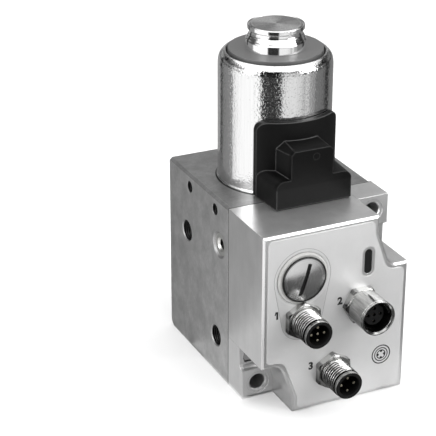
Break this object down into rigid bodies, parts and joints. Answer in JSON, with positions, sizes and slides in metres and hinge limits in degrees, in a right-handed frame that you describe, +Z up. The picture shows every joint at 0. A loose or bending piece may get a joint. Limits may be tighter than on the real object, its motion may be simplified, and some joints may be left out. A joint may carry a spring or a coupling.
{
  "type": "electro pneumatic regulator",
  "caption": "Square metal valve block with side ports, a round solenoid on top and a notched electronics housing in front that carries round connectors, a screw plug and a status window.",
  "frame": {"origin": "on the base, in the middle of the space the regulator takes up", "axes": "+Z up along the solenoid, -Y towards the connectors, -X towards the ports"},
  "size_m": [0.064, 0.1032, 0.1431],
  "materials": {
    "valve_block": "machined, mid grey",
    "housing_metal": "cast, light grey, fine tool marks",
    "label_foil": "printed foil, light grey",
    "window_dark": "clear dark tint",
    "nickel": "bright nickel plate",
    "seal_rubber": "matt black",
    "insert_black": "moulded, matt black",
    "contact_metal": "gold plated",
    "board": "solder resist, green",
    "switch_plastic": "moulded, grey",
    "rotor_plastic": "moulded, cream",
    "lamp": "clear lens",
    "steel": "zinc plated steel",
    "spring_steel": "drawn wire",
    "core_steel": "turned steel",
    "valve_brass": "turned brass",
    "winding": "enamelled copper wire",
    "bobbin": "glass filled, black",
    "can_chrome": "bright chromate",
    "disc_grey": "matt grey",
    "cap_metal": "turned, bright",
    "plug_black": "moulded, matt black",
    "lead_red": "insulated wire, red",
    "filter_bronze": "sintered bronze"
  },
  "bodies": {
    "regulator": {"valve_body": "valve_block", "electronics_housing": "housing_metal", "housing_feet": "housing_metal", "housing_gasket": "seal_rubber", "housing_screws": "steel", "front_label": "label_foil", "status_window": "window_dark", "plug_seal": "seal_rubber", "connector_1_shell": "nickel", "connector_1_insert": "insert_black", "connector_1_contacts": "contact_metal", "connector_2_shell": "nickel", "connector_2_insert": "insert_black", "connector_2_contacts": "contact_metal", "connector_3_shell": "nickel", "connector_3_insert": "insert_black", "connector_3_contacts": "contact_metal", "connector_nuts": "nickel", "connector_seals": "seal_rubber", "circuit_board": "board", "board_screws": "steel", "switch_bodies": "switch_plastic", "status_lamps": "lamp", "pressure_sensor": "steel", "sensor_seal": "seal_rubber", "bottom_plug": "valve_block", "bottom_plug_seal": "seal_rubber", "snap_ring": "spring_steel", "valve_seat": "valve_brass", "valve_seat_seal": "seal_rubber", "poppet_spring": "spring_steel", "pole_piece": "core_steel", "pole_seal": "seal_rubber", "armature_tube": "core_steel", "guide_bushes": "valve_brass", "return_spring": "spring_steel", "base_plate": "core_steel", "coil_bobbin": "bobbin", "coil_winding": "winding", "top_disc": "disc_grey", "can_seal": "seal_rubber", "solenoid_can": "can_chrome", "cap_nut": "cap_metal", "coil_plug": "plug_black", "plug_gasket": "seal_rubber", "contact_blades": "contact_metal", "coil_leads": "lead_red", "coil_terminal": "switch_plastic", "gauge_insert": "steel", "exhaust_filter": "filter_bronze"},
    "plug": {"screw_plug": "nickel"},
    "rotor_1": {"switch_rotor_1": "rotor_plastic"},
    "rotor_2": {"switch_rotor_2": "rotor_plastic"},
    "armature": {"armature": "core_steel", "push_rod": "steel"},
    "poppet": {"poppet": "valve_brass", "poppet_seal": "seal_rubber"}
  },
  "joints": [
    {"name": "plug_out", "type": "slide", "parent": "regulator", "child": "plug", "axis": [0, -1, 0], "range_m": [0, 0.012]},
    {"name": "rotor_1_turn", "type": "hinge", "parent": "regulator", "child": "rotor_1", "pos_m": [-0.0152, -0.02735, 0.0554], "axis": [0, -1, 0], "continuous": true},
    {"name": "rotor_2_turn", "type": "hinge", "parent": "regulator", "child": "rotor_2", "pos_m": [-0.0152, -0.02735, 0.0634], "axis": [0, -1, 0], "continuous": true},
    {"name": "armature_slide", "type": "slide", "parent": "regulator", "child": "armature", "axis": [0, 0, -1], "range_m": [0, 0.0012], "stiffness_N_per_m": 2000, "springref_m": -0.002, "deforming": ["return_spring"]},
    {"name": "poppet_slide", "type": "slide", "parent": "regulator", "child": "poppet", "axis": [0, 0, -1], "range_m": [0, 0.0012], "stiffness_N_per_m": 1500, "springref_m": -0.003, "deforming": ["poppet_spring"]}
  ],
  "couplings": [
    {"joint": "poppet_slide", "follows": "armature_slide", "ratio": 1}
  ]
}
